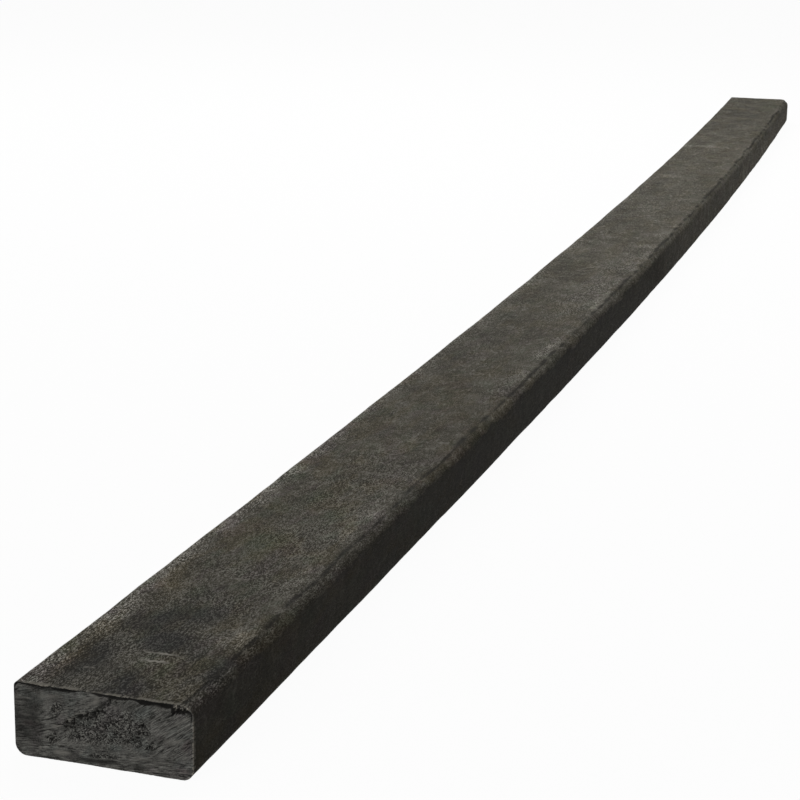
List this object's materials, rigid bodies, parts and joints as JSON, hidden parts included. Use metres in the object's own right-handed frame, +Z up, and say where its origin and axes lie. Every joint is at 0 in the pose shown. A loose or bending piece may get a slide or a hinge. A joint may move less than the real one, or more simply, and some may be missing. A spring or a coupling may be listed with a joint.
{
  "type": "plastic lumber plank",
  "caption": "Solid plank of recycled mixed plastic with rounded arrises and saw-cut ends, slightly bowed sideways, lying flat.",
  "frame": {"origin": "in the broad face that the plank lies on, at the middle of the ground that the plank covers", "axes": "+X runs along the plank, from the end with the gentler bow to the other end. +Z is up, through the thickness. The ends of the bowed plank lean towards +Y."},
  "size_m": [2.8024, 0.121, 0.041],
  "materials": {
    "recycled_plastic": "dull mottled grey-brown moulded skin, paler smeared saw cuts on the ends"
  },
  "bodies": {
    "root": {"plank": "recycled_plastic"}
  },
  "joints": []
}
